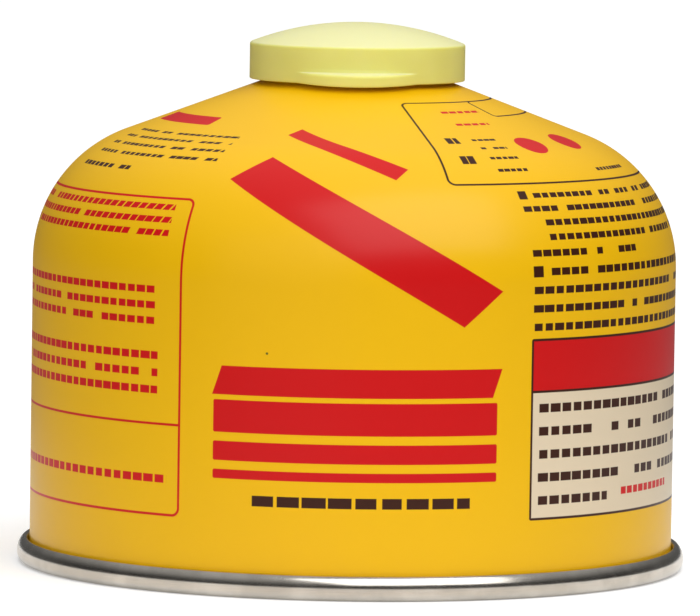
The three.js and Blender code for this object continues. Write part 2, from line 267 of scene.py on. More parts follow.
# azimuth, elevation, distance, width, height, brightness
KEY_BOX = (28.0, 48.0, 1.5, 1.6, 1.3, 2.45)
FILL_BOX = (-24.0, 15.0, 1.7, 1.5, 1.2, 1.45)
TOP_BOX = (180.0, 74.0, 1.2, 1.3, 1.3, 1.15)


def soft_box(name, azimuth, elevation, distance, width, height, brightness):
    """A soft box that faces the can. Angles are in degrees from the front, to the right and upward."""
    turn = math.radians(azimuth)
    rise = math.radians(elevation)
    way = Vector((math.sin(turn) * math.cos(rise), -math.cos(turn) * math.cos(rise), math.sin(rise)))
    data = bpy.data.lights.new(name, "AREA")
    data.shape = "RECTANGLE"
    data.size = width
    data.size_y = height
    data.energy = brightness * math.pi * width * height
    lamp = add_object(name, data)
    facing = (-way).to_track_quat("-Z", "Y").to_matrix().to_4x4()
    lamp.matrix_world = Matrix.Translation(CAN_MIDDLE + way * distance) @ facing
    return lamp


soft_box("key_box", *KEY_BOX)
for name, box in (("fill_box", FILL_BOX), ("top_box", TOP_BOX)):
    soft_box(name, *box).visible_glossy = False

# %% [markdown]
# Sizes
#
# The sizes below are those of the real can, in millimetres. Heights are above the plane that the seam
# stands on. The folds of the double seam and the layers of the valve follow from the sheet thicknesses
# and the gaps between them, as they do on the press that makes the can.

# %% Sizes of the can
WALL_RADIUS = 53.0
WALL_TOP = 49.8
KNUCKLE_RADIUS = 23.0
SHOULDER_SLOPE = 20.6
MOUTH_RADIUS = 12.7
CURL_RADIUS = 1.45
CURL_STAND = 1.05
SHEET = 0.4
SEAM_GAP = 0.27

# %% Profile helpers


def arc(centre, radius, start, stop, steps):
    """Points on an arc in the plane of the profile, with its angles in degrees."""
    angles = [math.radians(start + (stop - start) * i / steps) for i in range(steps + 1)]
    return [(centre[0] + radius * math.cos(a), centre[1] + radius * math.sin(a)) for a in angles]


def straight(start, stop, steps):
    """Points between two points, without the first and the last."""
    share = [i / steps for i in range(1, steps)]
    return [(start[0] + (stop[0] - start[0]) * t, start[1] + (stop[1] - start[1]) * t) for t in share]


def offset(line, distance):
    """The line moved to its left by a distance, with mitred corners. A point on the axis stays on it."""
    points = [Vector(p) for p in line]
    moved = []
    for i, here in enumerate(points):
        if here.x == 0.0:
            moved.append((0.0, here.y + distance))
            continue
        before = points[max(i - 1, 0)]
        after = points[min(i + 1, len(points) - 1)]
        arriving = (here - before if i > 0 else after - here).normalized()
        leaving = (after - here if i < len(points) - 1 else arriving).normalized()
        along = (arriving + leaving).normalized()
        stretch = distance / along.dot(arriving)
        moved.append((here.x - along.y * stretch, here.y + along.x * stretch))
    return moved


def sheet_section(middle, thickness):
    """Both faces of a bent sheet, from its middle line."""
    return offset(middle, thickness / 2) + offset(middle, -thickness / 2)[::-1]


# %% Turned pieces
WELD_DISTANCE = 0.0005 * MM
SHARP_ANGLE = math.radians(50)


def smooth_object(shape, name):
    bmesh.ops.remove_doubles(shape, verts=shape.verts, dist=WELD_DISTANCE)
    bmesh.ops.recalc_face_normals(shape, faces=shape.faces)
    mesh = bpy.data.meshes.new(name)
    shape.to_mesh(mesh)
    shape.free()
    mesh.shade_smooth()
    return add_object(name, mesh)


def turned_shape(profile, steps, closes):
    """Spins a profile of (radius, height) in millimetres round the Z axis."""
    shape = bmesh.new()
    line = [shape.verts.new((r * MM, 0.0, z * MM)) for r, z in profile]
    edges = [shape.edges.new(pair) for pair in zip(line, line[1:])]
    if closes:
        edges.append(shape.edges.new((line[-1], line[0])))
    bmesh.ops.spin(shape, geom=line + edges, cent=(0, 0, 0), axis=(0, 0, 1), dvec=(0, 0, 0),
                   angle=2 * math.pi, steps=steps, use_merge=True, use_duplicate=False)
    return shape


def stands_for(piece, node, body):
    """Puts a piece in the place of a node and prints how far it passes the node's box."""
    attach(piece, body)
    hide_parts(node)
    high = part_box(node)[1]
    points = [v.co for v in piece.data.vertices]
    wide = max(p.x for p in points) - high[0]
    tall = max(p.z for p in points) - high[2]
    further = [round(v / MM, 3) for v in (wide, tall)]
    print(node, "faces", len(piece.data.polygons), "wider and taller by", further)


# %% [markdown]
# The can body
#
# One blank of steel is drawn to a cup, its shoulder is necked to a cone and the mouth is rolled outward
# into a curl. The sealed can is one filled solid here, so the profile runs from the axis under the can,
# round the hook inside the seam, up the outside and over the curl, and back to the axis in the pocket
# for the valve. A spin of that one line makes the whole piece.

# %% Shoulder and curl
knuckle_centre = (WALL_RADIUS - KNUCKLE_RADIUS, WALL_TOP)
knuckle = arc(knuckle_centre, KNUCKLE_RADIUS, 0, 90 - SHOULDER_SLOPE, 40)
SLOPE_RISE = math.tan(math.radians(SHOULDER_SLOPE))


def shoulder_height(radius):
    return knuckle[-1][1] + (knuckle[-1][0] - radius) * SLOPE_RISE


curl_outer = MOUTH_RADIUS + 2 * CURL_RADIUS
curl_centre = (MOUTH_RADIUS + CURL_RADIUS, shoulder_height(curl_outer) + CURL_STAND)
print("curl centre:", [round(v, 2) for v in curl_centre])

# %% Layers of the double seam
end_hook = WALL_RADIUS + SEAM_GAP + SHEET / 2
body_hook = end_hook + SHEET + SEAM_GAP
seam_layer = body_hook + SHEET + SEAM_GAP
chuck_wall = WALL_RADIUS - SHEET - SEAM_GAP - SHEET / 2
turn_radius = (body_hook - (WALL_RADIUS - SHEET / 2)) / 2
turn_centre = (WALL_RADIUS - SHEET / 2 + turn_radius, SHEET + SEAM_GAP + SHEET / 2 + turn_radius)
BODY_HOOK_LENGTH = 1.1
print("seam radius:", round(seam_layer + SHEET / 2, 2))

# %% Base panel
CHUCK_WALL_TOP = 6.5
BLEND_RADIUS = 3.0
DOME_SLOPE = 15.0

blend = arc((chuck_wall - BLEND_RADIUS, CHUCK_WALL_TOP), BLEND_RADIUS, 90 - DOME_SLOPE, 0, 10)
dome_radius = blend[0][0] / math.sin(math.radians(DOME_SLOPE))
dome_centre = (0.0, blend[0][1] - dome_radius * math.cos(math.radians(DOME_SLOPE)))
dome = arc(dome_centre, dome_radius, 90, 90 - DOME_SLOPE, 24)
base_panel = [(0.0, dome[0][1])] + dome[1:-1] + blend
print("base dome rises to", round(dome[0][1], 2))

# %% Well and pedestal of the valve cup
CUP_SHEET = 0.35
CUP_GAP = 0.2
GASKET_THICKNESS = 0.4
CUP_SKIRT_DROP = 0.6
CLINCH_PROUD = 0.5
WELL_DEPTH = 4.4
WELL_CORNER = 0.9
PEDESTAL_RADIUS = 8.0
PEDESTAL_CORNER = 0.8
PEDESTAL_RISE = 5.2
BOSS_RADIUS = 5.556
BOSS_LENGTH = 5.9
BOSS_MOUTH_RADIUS = 2.9

flange_centre = (curl_centre[0], curl_centre[1] + GASKET_THICKNESS)
flange_radius = CURL_RADIUS + CUP_GAP + CUP_SHEET / 2
well_radius = flange_centre[0] - flange_radius
well_floor = flange_centre[1] - WELL_DEPTH
cup_outer = flange_centre[0] + flange_radius + CUP_SHEET / 2
cup_top = flange_centre[1] + flange_radius + CUP_SHEET / 2
boss_middle = BOSS_RADIUS - CUP_SHEET / 2
pedestal_top = well_floor + PEDESTAL_RISE
boss_top = pedestal_top + BOSS_LENGTH

clinch_height = curl_centre[1] - CURL_RADIUS - 2 * CLINCH_PROUD
flange_line = arc(flange_centre, flange_radius, 0, 180, 20)


def bulge(start, top, stop, steps):
    """A rounded bead from start over its top to stop, with the two ends on the wall."""
    rise = []
    for low, high in ((start, top), (top, stop)):
        for i in range(1, steps):
            ease = (1 - math.cos(math.pi * i / steps)) / 2
            height = low[1] + (high[1] - low[1]) * i / steps
            rise.append((low[0] + (high[0] - low[0]) * ease, height))
        rise.append(high)
    return [start] + rise


well_line = [
    *bulge((well_radius, curl_centre[1] - CURL_RADIUS / 2), (well_radius + CLINCH_PROUD, clinch_height),
           (well_radius, well_floor + WELL_CORNER), 6),
    *arc((well_radius - WELL_CORNER, well_floor + WELL_CORNER), WELL_CORNER, 0, -90, 6)[1:],
]
foot_centre = (PEDESTAL_RADIUS + PEDESTAL_CORNER, well_floor + PEDESTAL_CORNER)
head_centre = (PEDESTAL_RADIUS - PEDESTAL_CORNER, pedestal_top - PEDESTAL_CORNER)
pedestal_foot = arc(foot_centre, PEDESTAL_CORNER, 270, 180, 6)
pedestal_head = arc(head_centre, PEDESTAL_CORNER, 0, 90, 6)
print("boss top:", round(boss_top, 2), "cup radius:", round(cup_outer, 2))

# %% Heights inside the valve
VALVE_FIT = 0.2
STEM_GASKET_THICKNESS = 1.0
HOUSING_LENGTH = 15.5

inner_radius = BOSS_RADIUS - CUP_SHEET - VALVE_FIT
gasket_top = boss_top - CUP_SHEET - VALVE_FIT
gasket_low = gasket_top - STEM_GASKET_THICKNESS
housing_top = gasket_low - VALVE_FIT / 2
housing_low = housing_top - HOUSING_LENGTH

# %% Spin the can body
BODY_STEPS = 180
under = offset(base_panel, SHEET / 2 + SEAM_GAP)
turn_in = turn_radius - SHEET / 2
turn_out = turn_radius + SHEET / 2
hook_top = turn_centre[1] + BODY_HOOK_LENGTH
cup_outside = CUP_SHEET / 2 + CUP_GAP
well_outside = offset(flange_line[-1:] + well_line, cup_outside)[3:]
pedestal_inside = offset(pedestal_foot + pedestal_head[:1], cup_outside)[:-1]
pocket_radius = inner_radius + CUP_GAP
neck_foot = (curl_outer + CURL_RADIUS / 4, shoulder_height(curl_outer + CURL_RADIUS / 4))

body_profile = [
    *under,
    *arc(turn_centre, turn_out, 180, 360, 12),
    (turn_centre[0] + turn_out, hook_top),
    (turn_centre[0] + turn_in, hook_top),
    *arc(turn_centre, turn_in, 360, 180, 10),
    *straight((WALL_RADIUS, turn_centre[1]), (WALL_RADIUS, WALL_TOP), 24),
    *knuckle,
    *straight(knuckle[-1], neck_foot, 12),
    neck_foot,
    *arc(curl_centre, CURL_RADIUS, -36, 180, 24),
    *well_outside,
    *pedestal_inside,
    (pocket_radius, pedestal_inside[-1][1]),
    (pocket_radius, housing_low - CUP_GAP),
    (0.0, housing_low - CUP_GAP),
]
can_body = smooth_object(turned_shape(body_profile, BODY_STEPS, closes=False), "body_shell")
stands_for(can_body, "can_body", "can")

# %% [markdown]
# A map for the print
#
# The print on the can is laid out in degrees round the can and in millimetres along the metal, up the
# wall and over the shoulder. A UV map holds just that: one turn is one unit of U, and V is the length
# along the profile in metres times ten. The corners of a face keep to the same turn as its middle, so that
# no face at the back, where the turn closes, runs backwards.

# %% Print map
PRINT_V_SCALE = 0.01
knuckle_length = KNUCKLE_RADIUS * math.radians(90 - SHOULDER_SLOPE)


def length_up_can(radius, height):
    """Millimetres along the outside of the can from the standing plane."""
    if height <= WALL_TOP:
        return height if radius > WALL_RADIUS - SHEET else 0.0
    if height <= knuckle[-1][1]:
        turned = math.atan2(height - knuckle_centre[1], radius - knuckle_centre[0])
        return WALL_TOP + KNUCKLE_RADIUS * turned
    return WALL_TOP + knuckle_length + (height - knuckle[-1][1]) / math.sin(math.radians(SHOULDER_SLOPE))


def turn_of(point):
    """Share of a turn from the front, growing to the right as the can is seen from its front."""
    return math.atan2(point.x, -point.y) / (2 * math.pi)


def add_print_map(piece):
    mesh = piece.data
    layer = mesh.uv_layers.new(name="print_map")
    for face in mesh.polygons:
        middle = turn_of(face.center)
        for corner in face.loop_indices:
            place = mesh.vertices[mesh.loops[corner].vertex_index].co
            radius = math.hypot(place.x, place.y)
            turn = turn_of(place) if radius > 0.1 * MM else middle
            turn += round(middle - turn)
            layer.data[corner].uv = (turn, length_up_can(radius / MM, place.z / MM) * PRINT_V_SCALE)


add_print_map(can_body)
print("print map faces:", len(can_body.data.polygons))

# %% [markdown]
# The base end
#
# A disc of bare tinplate is pressed to a shallow dome that bulges into the can, because a dome resists
# the pressure better than a flat plate. Its rim is rolled together with the foot of the can into a
# double seam, which is also the ring that the can stands on.

# %% Seam and base end
CROWN_RADIUS = 2.4
CROWN_HEIGHT = 2.0
FOLD_RADIUS = 0.35
OUTER_CORNER = 1.2
INNER_CORNER = 0.95

crown_centre = (seam_layer - CROWN_RADIUS, CROWN_HEIGHT)
fold_reach = CROWN_RADIUS - FOLD_RADIUS
fold_angle = math.degrees(math.acos((end_hook + FOLD_RADIUS - crown_centre[0]) / fold_reach))
fold_centre = (
    crown_centre[0] + fold_reach * math.cos(math.radians(fold_angle)),
    crown_centre[1] + fold_reach * math.sin(math.radians(fold_angle)),
)
seam_line = [
    *straight(blend[-1], (chuck_wall, SHEET / 2 + INNER_CORNER), 4),
    *arc((chuck_wall + INNER_CORNER, SHEET / 2 + INNER_CORNER), INNER_CORNER, 180, 270, 10),
    *arc((seam_layer - OUTER_CORNER, SHEET / 2 + OUTER_CORNER), OUTER_CORNER, -90, 0, 12),
    *arc(crown_centre, CROWN_RADIUS, 0, fold_angle, 12),
    *arc(fold_centre, FOLD_RADIUS, fold_angle, 180, 10)[1:],
    *straight((end_hook, fold_centre[1]), (end_hook, turn_centre[1]), 3),
    (end_hook, turn_centre[1]),
]
end_profile = sheet_section(base_panel + seam_line, SHEET)
base_end = smooth_object(turned_shape(end_profile, BODY_STEPS, closes=False), "base_end_tinplate")
stands_for(base_end, "base_end", "can")

# %% [markdown]
# The valve cup
#
# A second small pressing of tinplate closes the mouth. Its flange is rolled over the curl, its wall is
# spread below the curl, which holds it there, and its middle rises in a pedestal and a boss. The screw
# thread is rolled into the boss, 28 turns to the inch, so both faces of the sheet follow it, the inner one
# less. Its rows run along a helix: the depth at a point depends on its height less its share of a turn.

# %% Spin the valve cup and roll its thread
CUP_STEPS = 144
THREAD_PITCH = 25.4 / 28
THREAD_DEPTH = 0.32
THREAD_INNER_SHARE = 0.5
THREAD_ROWS = 66
THREAD_RUN_OUT = 0.6
THREAD_STEEPNESS = 2.6
THREAD_ROOT_SHARE = 0.35

boss_lip = arc((boss_middle - CUP_SHEET, boss_top - CUP_SHEET * 1.5), CUP_SHEET, 0, 90, 6)
thread_low = pedestal_top + CUP_SHEET / 2
cup_middle = [
    (flange_centre[0] + flange_radius, curl_centre[1] - CUP_SKIRT_DROP),
    *flange_line,
    *well_line,
    *pedestal_foot,
    *pedestal_head,
    (boss_middle, pedestal_top),
    *straight((boss_middle, pedestal_top), boss_lip[0], THREAD_ROWS),
    *boss_lip,
    *straight(boss_lip[-1], (BOSS_MOUTH_RADIUS, boss_top - CUP_SHEET / 2), 4),
    (BOSS_MOUTH_RADIUS, boss_top - CUP_SHEET / 2),
]


def thread_depth(turn, height):
    """Share of the thread's depth at a place on the boss, from 0 on a crest to 1 in a root."""
    phase = (height / THREAD_PITCH - turn) % 1.0
    flank = min(max(abs(phase - 0.5) * THREAD_STEEPNESS - THREAD_ROOT_SHARE, 0.0), 1.0)
    above = (height - thread_low) / THREAD_RUN_OUT
    below = (boss_lip[0][1] - height) / THREAD_RUN_OUT
    return (1.0 - flank) * min(max(min(above, below), 0.0), 1.0)


cup_shape = turned_shape(sheet_section(cup_middle, CUP_SHEET), CUP_STEPS, closes=True)
for vert in cup_shape.verts:
    radius = math.hypot(vert.co.x, vert.co.y)
    on_boss = thread_low < vert.co.z / MM < boss_lip[0][1] and radius > (boss_middle - CUP_SHEET) * MM
    if on_boss and radius < (BOSS_RADIUS + 0.01) * MM:
        inner = radius < boss_middle * MM
        depth = THREAD_DEPTH * thread_depth(turn_of(vert.co), vert.co.z / MM)
        scale = 1.0 - depth * (THREAD_INNER_SHARE if inner else 1.0) * MM / radius
        vert.co.x *= scale
        vert.co.y *= scale
valve_cup = smooth_object(cup_shape, "valve_cup_tinplate")
stands_for(valve_cup, "valve_cup", "can")

# %% [markdown]
# Inside the valve
#
# A rubber ring seals the cup on the curl. In the boss sit a rubber disc with a hole, the stem whose head
# the spring presses against that disc, and the housing that holds them. Each is a turned section.

# %% Gaskets, housing and stem
GASKET_SEAT_GAP = 0.1
HOUSING_WALL = 1.3
HOUSING_FLOOR = 1.4
HOUSING_INLET = 1.2
STEM_NECK = 1.15
STEM_NECK_LENGTH = 1.55
STEM_HEAD = 2.55
STEM_HEAD_THICKNESS = 1.0
STEM_SPIGOT = 1.35
STEM_SPIGOT_LENGTH = 4.6
STEM_HOLE_GAP = 0.15
SMALL_STEPS = 64
MOULDING_EDGE = 0.12
MOULDING_EDGE_STEPS = 3


def rounded(profile, radius, steps, loop):
    """The profile with each corner replaced by a short curve, to catch the light as a moulding does."""
    points = [Vector(p) for p in profile]
    count = len(points)
    smooth = []
    for i, here in enumerate(points):
        ends = not loop and i in (0, count - 1)
        before = points[i - 1]
        after = points[(i + 1) % count]
        if ends or here.x == 0.0:
            smooth.append(tuple(here))
            continue
        reach = min(radius, (before - here).length / 2.2, (after - here).length / 2.2)
        first = here + (before - here).normalized() * reach
        last = here + (after - here).normalized() * reach
        for k in range(steps + 1):
            t = k / steps
            smooth.append(tuple(first * (1 - t) ** 2 + here * 2 * t * (1 - t) + last * t ** 2))
    return smooth


def turned_part(name, node, body, profile, loop):
    smooth = rounded(profile, MOULDING_EDGE, MOULDING_EDGE_STEPS, loop)
    shape = turned_shape(smooth, SMALL_STEPS, closes=loop)
    piece = smooth_object(shape, name)
    stands_for(piece, node, body)
    return piece


gasket_bend = CURL_RADIUS + GASKET_SEAT_GAP
gasket_lower = arc(curl_centre, gasket_bend, 35, 145, 16)
gasket_upper = arc(flange_centre, gasket_bend, 145, 35, 16)
gasket_shape = turned_shape(gasket_lower + gasket_upper, CUP_STEPS, closes=True)
cup_gasket = smooth_object(gasket_shape, "cup_gasket_ring")
stands_for(cup_gasket, "cup_gasket", "can")

stem_bore = STEM_NECK + STEM_HOLE_GAP
stem_gasket = turned_part("stem_gasket_disc", "stem_gasket", "can", [
    (stem_bore, gasket_low), (inner_radius, gasket_low),
    (inner_radius, gasket_top), (stem_bore, gasket_top),
], loop=True)

housing_bore = inner_radius - HOUSING_WALL
housing_foot = HOUSING_FLOOR / 2
valve_housing = turned_part("valve_housing_moulding", "valve_housing", "can", [
    (HOUSING_INLET, housing_low), (inner_radius - housing_foot, housing_low),
    (inner_radius, housing_low + housing_foot), (inner_radius, housing_top), (housing_bore, housing_top),
    (housing_bore, housing_low + HOUSING_FLOOR), (HOUSING_INLET, housing_low + HOUSING_FLOOR),
], loop=True)

stem_head = gasket_low - VALVE_FIT - STEM_HEAD_THICKNESS
stem_low = stem_head - STEM_SPIGOT_LENGTH
head_top = stem_head + STEM_HEAD_THICKNESS
bevel = STEM_HEAD_THICKNESS / 3
valve_stem = turned_part("valve_stem_moulding", "valve_stem", "stem", [
    (0.0, stem_low), (STEM_SPIGOT, stem_low), (STEM_SPIGOT, stem_head), (STEM_HEAD, stem_head),
    (STEM_HEAD, head_top - bevel), (STEM_HEAD - bevel, head_top), (STEM_NECK, head_top),
    (STEM_NECK, head_top + STEM_NECK_LENGTH), (0.0, head_top + STEM_NECK_LENGTH),
], loop=False)

# %% [markdown]
# The spring
#
# Wire wound in six and a half even turns round the stem's spigot, from the housing's floor to the stem's
# head. One round section, spun as it rises, makes the coil.

# %% Wind the spring
SPRING_WIRE_RADIUS = 0.25
SPRING_TURNS = 6.5
SPRING_STEPS_PER_TURN = 40
WIRE_SIDES = 14

spring_low = housing_low + HOUSING_FLOOR + VALVE_FIT
spring_top = stem_head - VALVE_FIT
spring_radius = (STEM_SPIGOT + STEM_HEAD) / 2


def wind_spring():
    steps = round(SPRING_TURNS * SPRING_STEPS_PER_TURN)
    rise = (spring_top - spring_low - 2 * SPRING_WIRE_RADIUS) / steps
    start = Matrix.Translation((spring_radius * MM, 0.0, (spring_low + SPRING_WIRE_RADIUS) * MM))
    shape = bmesh.new()
    bmesh.ops.create_circle(shape, cap_ends=True, segments=WIRE_SIDES, radius=SPRING_WIRE_RADIUS * MM,
                            matrix=start @ Matrix.Rotation(math.radians(90.0), 4, "X"))
    section = shape.verts[:] + shape.edges[:] + shape.faces[:]
    bmesh.ops.spin(shape, geom=section, cent=(0, 0, 0), axis=(0, 0, 1), dvec=(0, 0, rise * MM),
                   angle=2 * math.pi * SPRING_TURNS, steps=steps, use_duplicate=False)
    return smooth_object(shape, "valve_spring_wire")


spring = wind_spring()
spring.data.set_sharp_from_angle(angle=SHARP_ANGLE)
stands_for(spring, "valve_spring", "can")
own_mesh(spring)
print("spring from", round(spring_low, 2), "to", round(spring_top, 2))

# %% [markdown]
# The cap
#
# The cap is one moulding: a domed top, a straight skirt and a bead inside that catches the cup's flange.
# Eight short ribs inside end just above the flange. At the front the foot of the skirt stands out in a
# lip, which a thumb lifts. The lip's edge is part of a smaller circle set forward, so it grows out of the
# skirt without a step, and its foot sags a little at its middle while its crest stays nearly straight.

# %% Cap sizes
CAP_WALL = 1.1
CAP_EDGE_CLEARANCE = 1.1
CAP_HEADROOM = 0.49
CAP_DOME_RISE = 3.44
CAP_FILLET = 0.5
CAP_SNAP_GAP = 0.15
CAP_SNAP_PROUD = 0.33
CAP_SNAP_HEIGHT = 0.9
CAP_FOOT_ROUND = 0.2
CAP_BEAD_START = 0.25
CAP_SEAT_GAP = 0.3
CAP_RIB_COUNT = 8
CAP_RIB_THICKNESS = 0.9
CAP_RIB_LENGTH = 3.6
CAP_RIB_SINK = 0.2
LIP_PROUD = 1.2
LIP_HEIGHT = 1.75
LIP_HALF_ANGLE = math.radians(33.5)
LIP_SAG = 0.5
LIP_CREST_SAG_SHARE = 0.25
LIP_ROUND = 0.45
LIP_LEDGE = 0.18

cap_inner = cup_outer + CAP_SNAP_GAP + CAP_SNAP_PROUD
cap_radius = cap_inner + CAP_WALL
cap_edge = shoulder_height(cap_radius) + CAP_EDGE_CLEARANCE
cap_top = boss_top + CAP_HEADROOM + CAP_WALL
cap_sphere = (cap_radius ** 2 + CAP_DOME_RISE ** 2) / (2 * CAP_DOME_RISE)
print("cap radius:", round(cap_radius, 2), "from", round(cap_edge, 2), "to", round(cap_top, 2))

# %% Cap section


def domed(radius, top, fillet, steps):
    """From the axis over a dome and round its fillet, to the top of a wall of that radius."""
    low = top - cap_sphere
    centre_x = radius - fillet
    centre_z = low + math.sqrt((cap_sphere - fillet) ** 2 - centre_x ** 2)
    meet = math.degrees(math.atan2(centre_z - low, centre_x))
    crown = arc((0.0, low), cap_sphere, 90, meet, steps)
    return [(0.0, top)] + crown[1:] + arc((centre_x, centre_z), fillet, meet, 0, 8)[1:]


cap_outside = domed(cap_radius, cap_top, CAP_FILLET, 22)
cap_underside = domed(cap_inner, cap_top - CAP_WALL, CAP_FILLET / 2, 18)
lip_rows = [LIP_HEIGHT + LIP_LEDGE * k / 4 for k in range(4, 0, -1)]
lip_rows += [LIP_HEIGHT - LIP_ROUND * (1 - math.cos(math.radians(15 * k))) for k in range(7)]
lip_rows += [LIP_HEIGHT * share for share in (0.62, 0.45, 0.28)]
skirt = straight(cap_outside[-1], (cap_radius, cap_edge + lip_rows[0]), 6)
skirt += [(cap_radius, cap_edge + row) for row in lip_rows]
foot_height = cap_edge + CAP_FOOT_ROUND
foot = arc((cap_radius - CAP_FOOT_ROUND, foot_height), CAP_FOOT_ROUND, 0, -90, 5)
foot += arc((cap_inner + CAP_FOOT_ROUND, foot_height), CAP_FOOT_ROUND, -90, -180, 5)
snap_top = cap_edge + CAP_SNAP_HEIGHT * 0.75
bead = bulge((cap_inner, cap_edge + CAP_BEAD_START), (cap_inner - CAP_SNAP_PROUD, snap_top),
             (cap_inner, cap_edge + CAP_SNAP_HEIGHT * 1.5), 6)
inner_wall = straight(bead[-1], cap_underside[-1], 6)
cap_profile = cap_outside + skirt + foot + bead + inner_wall + cap_underside[::-1]
print("cap section points:", len(cap_profile))

# %% Spin the cap and draw out its lip
CAP_STEPS = 192
lip_front = cap_radius + LIP_PROUD
lip_end = (cap_radius * math.sin(LIP_HALF_ANGLE), cap_radius * math.cos(LIP_HALF_ANGLE))
lip_depth = lip_front - lip_end[1]
lip_circle = (lip_end[0] ** 2 + lip_depth ** 2) / (2 * lip_depth)
lip_centre = lip_front - lip_circle


def lip_reach(angle):
    """How far the lip stands out of the skirt at an angle from the front."""
    if abs(angle) >= LIP_HALF_ANGLE:
        return 0.0
    across = lip_centre * math.sin(angle)
    return max(lip_centre * math.cos(angle) + math.sqrt(lip_circle ** 2 - across ** 2) - cap_radius, 0.0)


def lip_share(height):
    """Share of the lip's reach at a height over the cap's edge: full on its face, rounded at its top."""
    bend = LIP_HEIGHT - LIP_ROUND
    if height <= bend:
        return 1.0
    if height <= LIP_HEIGHT:
        turned = (height - bend) / LIP_ROUND
        return 1.0 - LIP_ROUND / LIP_PROUD * (1.0 - math.sqrt(max(1.0 - turned ** 2, 0.0)))
    ease = min((height - LIP_HEIGHT) / LIP_LEDGE, 1.0)
    return (1.0 - LIP_ROUND / LIP_PROUD) * (1.0 - ease) ** 2


def draw_lip(shape):
    for vert in shape.verts:
        radius = math.hypot(vert.co.x, vert.co.y) / MM
        height = vert.co.z / MM - cap_edge
        reach = lip_reach(2 * math.pi * turn_of(vert.co))
        if reach == 0.0 or height > LIP_HEIGHT + LIP_LEDGE:
            continue
        outward = min(max((radius - cap_inner) / (cap_radius - cap_inner), 0.0), 1.0)
        share = lip_share(height) * outward
        scale = 1.0 + reach * share / radius
        vert.co.x *= scale
        vert.co.y *= scale
        sag_share = 1.0 - (1.0 - LIP_CREST_SAG_SHARE) * min(max(height / LIP_HEIGHT, 0.0), 1.0)
        vert.co.z -= LIP_SAG * sag_share * reach / LIP_PROUD * share * MM


def add_ribs(shape):
    """Short ribs under the dome. Their tops follow its underside and their backs sink into the wall."""
    seat = cup_top + CAP_SEAT_GAP
    for i in range(CAP_RIB_COUNT):
        made = bmesh.ops.create_cube(shape, size=1.0)["verts"]
        for vert in made:
            radius = cap_inner + CAP_RIB_SINK - (CAP_RIB_LENGTH - CAP_WALL / 2) * (0.5 - vert.co.x)
            under = cap_top - CAP_WALL - cap_sphere + math.sqrt(cap_sphere ** 2 - radius ** 2)
            height = under + CAP_RIB_SINK if vert.co.z > 0 else seat
            vert.co = (radius * MM, vert.co.y * CAP_RIB_THICKNESS * MM, height * MM)
        turn = Matrix.Rotation(2 * math.pi * (i + 0.5) / CAP_RIB_COUNT, 3, "Z")
        bmesh.ops.rotate(shape, verts=made, cent=(0, 0, 0), matrix=turn)


cap_shape = turned_shape(cap_profile, CAP_STEPS, closes=False)
draw_lip(cap_shape)
add_ribs(cap_shape)
cap = smooth_object(cap_shape, "cap_moulding")
cap.data.set_sharp_from_angle(angle=SHARP_ANGLE)
stands_for(cap, "cap", "cap")

# %% [markdown]
# Colours, groups and surfaces
#
# What several materials share is a node group, which gives out only masks and values. A surface ends each
# material's tree with the shader and what it reads.

# %% Material helpers


def srgb(red, green, blue):
    """A colour as it reads in a picture, 0 to 255, turned into scene light."""
    parts = []
    for value in (red, green, blue):
        share = value / 255
        parts.append(share / 12.92 if share <= 0.04045 else ((share + 0.055) / 1.055) ** 2.4)
    return (*parts, 1.0)


def group(name, inputs, outputs):
    """A new group: its tree helper, its inputs and its output node. Place is a vector, the rest numbers."""
    tree = bpy.data.node_groups.new(name, "ShaderNodeTree")
    for label in inputs:
        kind = "NodeSocketVector" if label == "Place" else "NodeSocketFloat"
        tree.interface.new_socket(label, in_out="INPUT", socket_type=kind)
    for label in outputs:
        tree.interface.new_socket(label, in_out="OUTPUT", socket_type="NodeSocketFloat")
    made = Tree(tree)
    given = made.node("NodeGroupInput").outputs
    return made, given, made.node("NodeGroupOutput")


def use(tree, grouped, **inputs):
    """Puts a group in a tree. Underscores in the names of its inputs stand for spaces."""
    inputs = {name.replace("_", " "): value for name, value in inputs.items()}
    return tree.node("ShaderNodeGroup", inputs, node_tree=grouped).outputs


def surface(tree, inputs):
    """Ends a tree with the shader that reads these inputs."""
    shader = tree.node("ShaderNodeBsdfPrincipled", inputs)
    tree.node("ShaderNodeOutputMaterial", {"Surface": shader.outputs[0]})


def dress(finish, *pieces):
    for piece in pieces:
        piece.data.materials.clear()
        piece.data.materials.append(finish)
    print(finish.name, "nodes", len(finish.node_tree.nodes), "on", [piece.name for piece in pieces])


# %% [markdown]
# Groups that the materials share
#
# Three groups work on the print map: one gives the place on the can in degrees and millimetres, one gives
# the distance in millimetres from the edge of a rounded panel, and one draws rows of short blocks. Two
# more give the metals their fine drawing marks and the mouldings their grain.

# %% Print groups
DEGREES = 360.0
ON_CAN = ["Azimuth", "Length", "Per degree"]
ROW_EDGE = 0.06
BLOCK_HALF_WIDTHS = (0.34, 0.47)
BLOCKS_LEFT_OUT = 0.07


